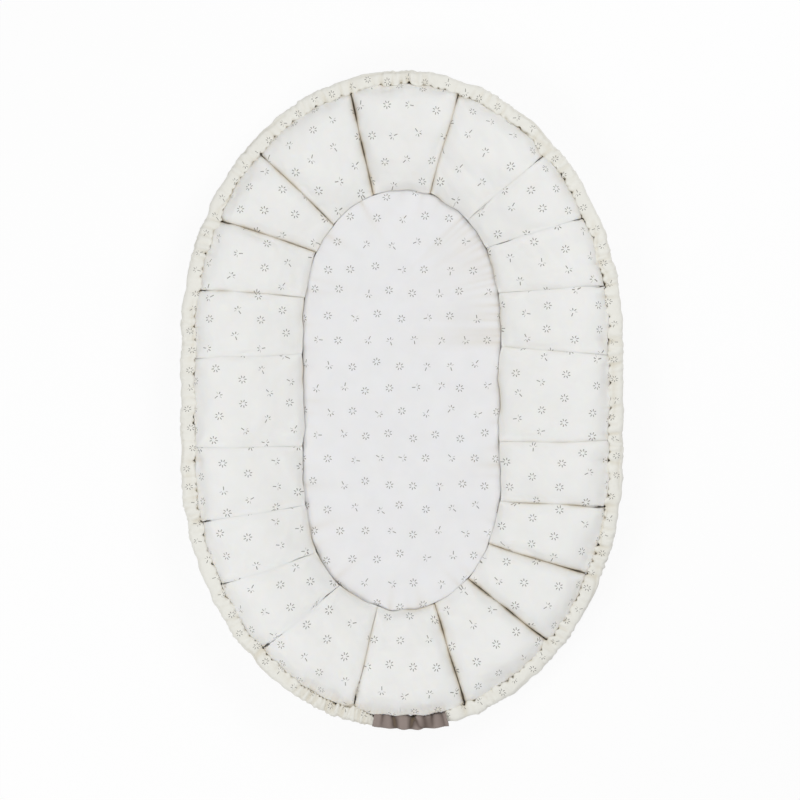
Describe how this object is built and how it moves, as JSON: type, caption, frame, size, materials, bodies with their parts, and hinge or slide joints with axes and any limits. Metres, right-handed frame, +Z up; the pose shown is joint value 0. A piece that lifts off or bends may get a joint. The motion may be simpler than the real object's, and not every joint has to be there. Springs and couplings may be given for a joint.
{
  "type": "infant lounger",
  "caption": "Oval infant lounger: a wall of stuffed pads round a soft base, a gathered elastic rim with a plain sleeve at the foot, and a loose covered mattress in the well.",
  "frame": {"origin": "on the floor under the middle of the lounger", "axes": "+Z up, +Y towards the head end, away from the sleeve, +X to the right seen from above with the head end up"},
  "size_m": [0.6002, 0.893, 0.1],
  "materials": {
    "wall_fabric": "matte",
    "base_fabric": "matte",
    "casing_fabric": "matte",
    "mattress_fabric": "matte",
    "sleeve_fabric": "matte",
    "elastic": "matte",
    "wadding": "matte"
  },
  "bodies": {
    "nest": {"wall_pad_01": "wall_fabric", "wall_pad_02": "wall_fabric", "wall_pad_03": "wall_fabric", "wall_pad_04": "wall_fabric", "wall_pad_05": "wall_fabric", "wall_pad_06": "wall_fabric", "wall_pad_07": "wall_fabric", "wall_pad_08": "wall_fabric", "wall_pad_09": "wall_fabric", "wall_pad_10": "wall_fabric", "wall_pad_11": "wall_fabric", "wall_pad_12": "wall_fabric", "wall_pad_13": "wall_fabric", "wall_pad_14": "wall_fabric", "wall_pad_15": "wall_fabric", "wall_pad_16": "wall_fabric", "wall_pad_17": "wall_fabric", "wall_pad_18": "wall_fabric", "wall_pad_19": "wall_fabric", "wall_pad_20": "wall_fabric", "base_underside": "base_fabric", "base_wadding": "wadding", "base_lining": "base_fabric", "rim_casing": "casing_fabric", "foot_sleeve": "sleeve_fabric", "rim_elastic": "elastic"},
    "mattress": {"mattress_cover": "mattress_fabric", "mattress_core": "wadding"}
  },
  "joints": [
    {"name": "mattress_lift", "type": "slide", "parent": "nest", "child": "mattress", "axis": [0, 0, 1], "range_m": [0, 0.16]}
  ]
}
